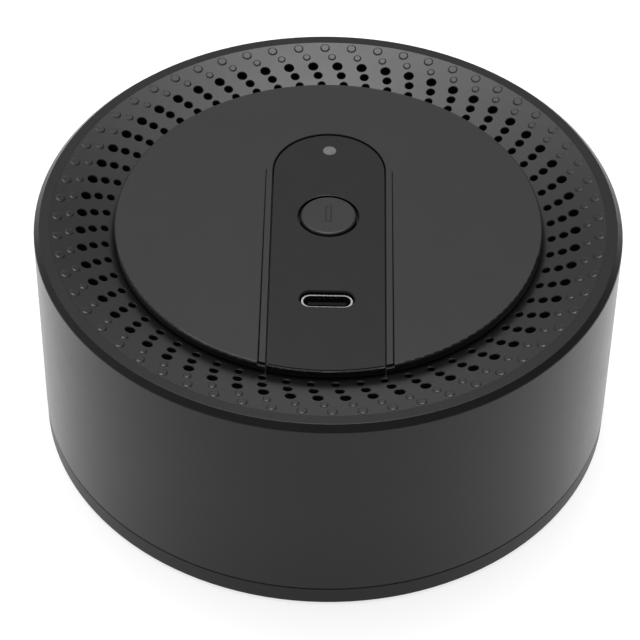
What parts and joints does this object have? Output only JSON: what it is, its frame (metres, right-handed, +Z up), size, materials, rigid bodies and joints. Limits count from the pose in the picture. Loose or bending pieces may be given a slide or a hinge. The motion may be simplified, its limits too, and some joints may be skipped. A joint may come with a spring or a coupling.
{
  "type": "air quality monitor",
  "caption": "Round screenless desktop air quality monitor: bevelled sleeve, perforated intake dish, centre disc and a panel with lamp, button and charging socket.",
  "frame": {"origin": "on the axis of the body, on the surface the feet stand on", "axes": "+Z up along the body's axis; -Y towards the socket end of the control panel"},
  "size_m": [0.105, 0.105, 0.045],
  "materials": {
    "shell_plastic": "satin moulded black plastic",
    "grille_plastic": "satin moulded black plastic, fine grain",
    "disc_plastic": "satin moulded black plastic, fine turned grain",
    "panel_plastic": "smooth satin black plastic",
    "button_plastic": "satin black plastic",
    "mark_ink": "matte black ink",
    "lamp_lens": "milky light pipe",
    "filter_cloth": "fine black mesh",
    "base_plastic": "satin moulded black plastic",
    "soft_rubber": "matte black rubber",
    "steel": "bright stamped steel",
    "screw_steel": "zinc plated",
    "gold": "gold flash",
    "insulator": "black moulded insulator",
    "board": "green solder mask",
    "switch_plastic": "black nylon",
    "lamp_chip": "white package",
    "cell_foil": "matte foil pouch",
    "foam": "grey foam",
    "adhesive": "grey adhesive film",
    "plug_plastic": "ivory nylon",
    "lead_sleeve": "red silicone sleeve",
    "ribbon": "white film ribbon",
    "sensor_case": "blue moulded case",
    "laser_brass": "turned brass",
    "fan_plastic": "black moulded fan",
    "motor": "black coated motor",
    "sensor_metal": "nickel plated can",
    "filter_white": "white membrane",
    "chip": "black epoxy"
  },
  "bodies": {
    "housing": {"side_shell": "shell_plastic", "grille_plate": "grille_plastic", "dust_mesh": "filter_cloth", "centre_disc": "disc_plastic", "disc_screws": "screw_steel", "control_panel": "panel_plastic", "panel_adhesive": "adhesive", "switch_body": "switch_plastic", "lamp_pipe": "lamp_lens", "lamp": "lamp_chip", "usb_shell": "steel", "usb_insulator": "insulator", "usb_contacts": "gold", "control_board": "board", "control_board_screws": "screw_steel", "base_plate": "base_plastic", "base_screws": "screw_steel", "rubber_feet": "soft_rubber", "main_board": "board", "main_board_screws": "screw_steel", "battery_cell": "cell_foil", "battery_pad": "foam", "battery_plug": "plug_plastic", "battery_leads": "lead_sleeve", "ribbon_cable": "ribbon", "ribbon_plugs": "plug_plastic", "sensor_case": "sensor_case", "sensor_lid": "sensor_case", "laser_module": "laser_brass", "receiver_board": "board", "fan_motor": "motor", "co2_sensor": "sensor_metal", "co2_filter": "filter_white", "processor_shield": "steel", "processor": "chip", "gas_sensor": "sensor_metal", "humidity_sensor": "chip", "buzzer": "chip"},
    "button": {"button_cap": "button_plastic", "button_mark": "mark_ink"},
    "plunger": {"switch_plunger": "switch_plastic"},
    "fan": {"fan_rotor": "fan_plastic"}
  },
  "joints": [
    {"name": "button_press", "type": "slide", "parent": "housing", "child": "button", "axis": [0, 0, -1], "range_m": [0, 0.0004], "stiffness_N_per_m": 2500, "springref_m": -0.0004},
    {"name": "plunger_press", "type": "slide", "parent": "housing", "child": "plunger", "axis": [0, 0, -1], "range_m": [0, 0.0004], "stiffness_N_per_m": 400, "springref_m": -0.0004},
    {"name": "fan_spin", "type": "hinge", "parent": "housing", "child": "fan", "pos_m": [0.012, 0, 0.018], "axis": [0, 0, 1], "continuous": true}
  ],
  "couplings": [
    {"joint": "plunger_press", "follows": "button_press", "ratio": 1}
  ]
}
